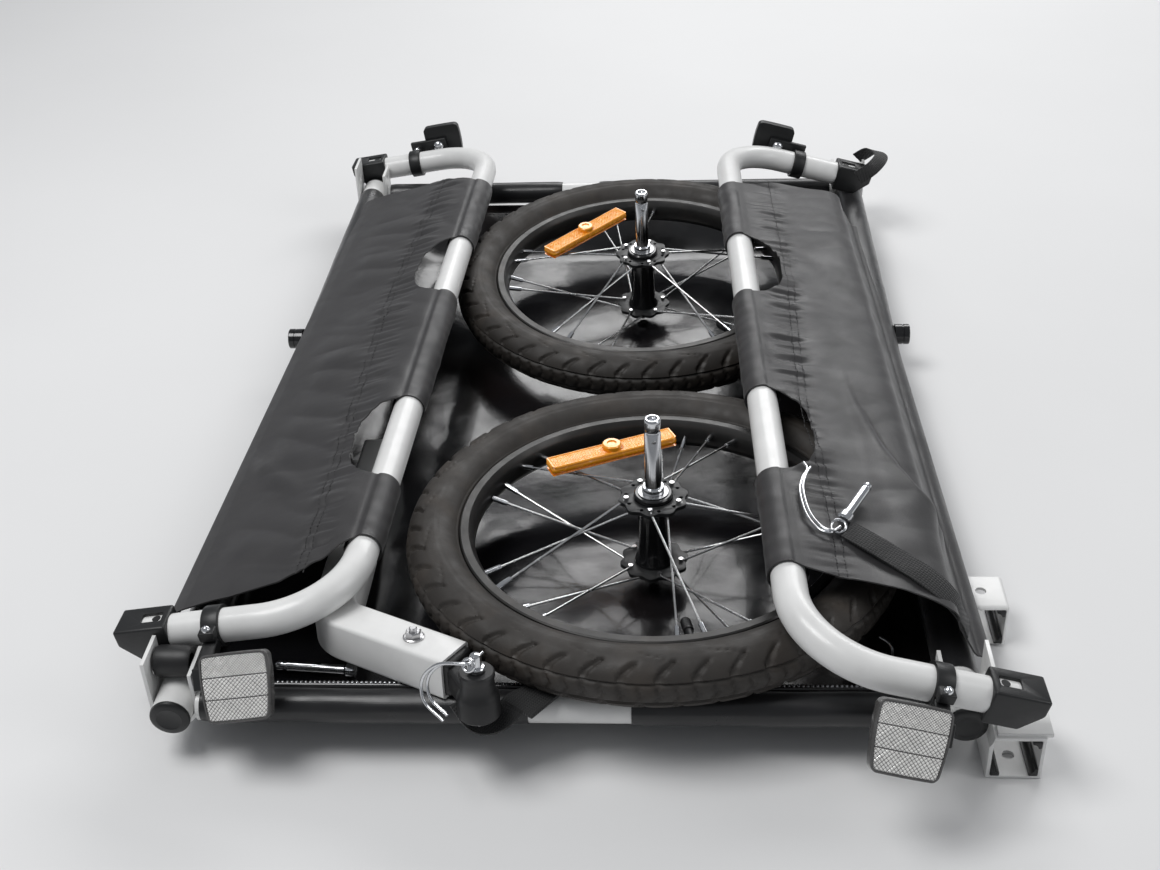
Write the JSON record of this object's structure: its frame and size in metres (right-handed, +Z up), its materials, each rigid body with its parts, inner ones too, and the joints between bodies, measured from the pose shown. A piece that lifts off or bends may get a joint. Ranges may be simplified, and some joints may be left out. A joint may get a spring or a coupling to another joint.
{
  "type": "folding child bicycle trailer",
  "caption": "Bicycle trailer folded flat: white tube base with a fabric floor, side frames with fabric panels folded over the stowed spoked wheels, tow bar and hitch.",
  "frame": {"origin": "on the ground, below the middle of the folded trailer's box in plan", "axes": "+X the side with the tow-bar sockets, +Y the rear, +Z up"},
  "size_m": [0.6675, 1.0254, 0.1741],
  "materials": {
    "white_paint": "satin powder coat",
    "black_plastic": "moulded",
    "black_fabric": "coated woven polyester",
    "black_tyre": "matte",
    "black_rubber": "satin",
    "black_alloy": "black anodised",
    "bright_steel": "bright plated",
    "clear_lens": "prismatic",
    "red_lens": "prismatic",
    "amber_lens": "prismatic"
  },
  "bodies": {
    "base": {"connector_bolt": "bright_steel", "flex_connector": "black_rubber", "floor_lock_pin": "bright_steel", "floor_panel": "black_fabric", "front_crossbar": "white_paint", "front_left_bracket": "white_paint", "front_left_tube_cap": "black_plastic", "front_right_bracket": "white_paint", "front_right_tube_cap": "black_plastic", "front_tow_receiver": "white_paint", "front_wheel_axle": "bright_steel", "left_panel_hem": "black_fabric", "left_side_tube": "white_paint", "left_wheel_receiver": "black_alloy", "rear_crossbar": "white_paint", "rear_left_bracket": "white_paint", "rear_left_tube_cap": "black_plastic", "rear_right_bracket": "white_paint", "rear_right_tube_cap": "black_plastic", "rear_tow_receiver": "white_paint", "rear_wheel_axle": "bright_steel", "right_panel_hem": "black_fabric", "right_side_tube": "white_paint", "right_wheel_receiver": "black_alloy", "tow_bar": "white_paint"},
    "left_frame": {"front_left_foot": "black_plastic", "front_left_reflector": "clear_lens", "front_left_reflector_clamp": "black_plastic", "left_frame_tube": "white_paint", "left_side_panel": "black_fabric", "rear_left_foot": "black_plastic", "rear_left_reflector": "red_lens", "rear_left_reflector_clamp": "black_plastic"},
    "right_frame": {"front_right_foot": "black_plastic", "front_right_reflector": "clear_lens", "front_right_reflector_clamp": "black_plastic", "pin_strap": "black_fabric", "rear_right_foot": "black_plastic", "rear_right_reflector": "red_lens", "rear_right_reflector_clamp": "black_plastic", "right_frame_tube": "white_paint", "right_side_panel": "black_fabric", "strap_keeper": "bright_steel", "strap_pin": "bright_steel"},
    "front_wheel": {"front_wheel_hub": "black_alloy", "front_wheel_reflector": "amber_lens", "front_wheel_rim": "black_alloy", "front_wheel_spokes": "bright_steel", "front_wheel_tyre": "black_tyre", "front_wheel_valve": "black_rubber"},
    "rear_wheel": {"rear_wheel_hub": "black_alloy", "rear_wheel_reflector": "amber_lens", "rear_wheel_rim": "black_alloy", "rear_wheel_spokes": "bright_steel", "rear_wheel_tyre": "black_tyre", "rear_wheel_valve": "black_rubber"},
    "front_button": {"front_axle_button": "black_plastic"},
    "rear_button": {"rear_axle_button": "black_plastic"},
    "hitch_pin_body": {"hitch_pin": "bright_steel"},
    "hitch_keeper_body": {"hitch_keeper": "bright_steel"}
  },
  "joints": [
    {"name": "left_frame_fold", "type": "hinge", "parent": "base", "child": "left_frame", "pos_m": [-0.2986, 0.0489, 0.0745], "axis": [0.0227, 0.9997, -0.0133], "range_deg": [-80.7, 0]},
    {"name": "right_frame_fold", "type": "hinge", "parent": "base", "child": "right_frame", "pos_m": [0.2873, -0.0171, 0.0824], "axis": [-0.0297, 0.9996, -0.0026], "range_deg": [0, 74.3]},
    {"name": "front_wheel_spin", "type": "hinge", "parent": "base", "child": "front_wheel", "pos_m": [0.0583, -0.2581, 0.071], "axis": [0, 0.0244, 0.9997], "range_deg": [-45, 170]},
    {"name": "rear_wheel_spin", "type": "hinge", "parent": "base", "child": "rear_wheel", "pos_m": [0.0413, 0.2029, 0.051], "axis": [0, -0.0732, 0.9973], "continuous": true},
    {"name": "front_button_press", "type": "slide", "parent": "base", "child": "front_button", "axis": [0, 0.0244, 0.9997], "range_m": [0, 0.004], "stiffness_N_per_m": 400, "springref_m": -0.002},
    {"name": "rear_button_press", "type": "slide", "parent": "base", "child": "rear_button", "axis": [0, -0.0732, 0.9973], "range_m": [0, 0.004], "stiffness_N_per_m": 400, "springref_m": -0.002},
    {"name": "hitch_pin_pull", "type": "slide", "parent": "base", "child": "hitch_pin_body", "axis": [0, 0.1245, 0.9922], "range_m": [0, 0.05]},
    {"name": "hitch_keeper_swing", "type": "hinge", "parent": "hitch_pin_body", "child": "hitch_keeper_body", "pos_m": [-0.05984, -0.44736, 0.10463], "axis": [0.4879, 0.8661, -0.1087], "range_deg": [0, 110]}
  ]
}
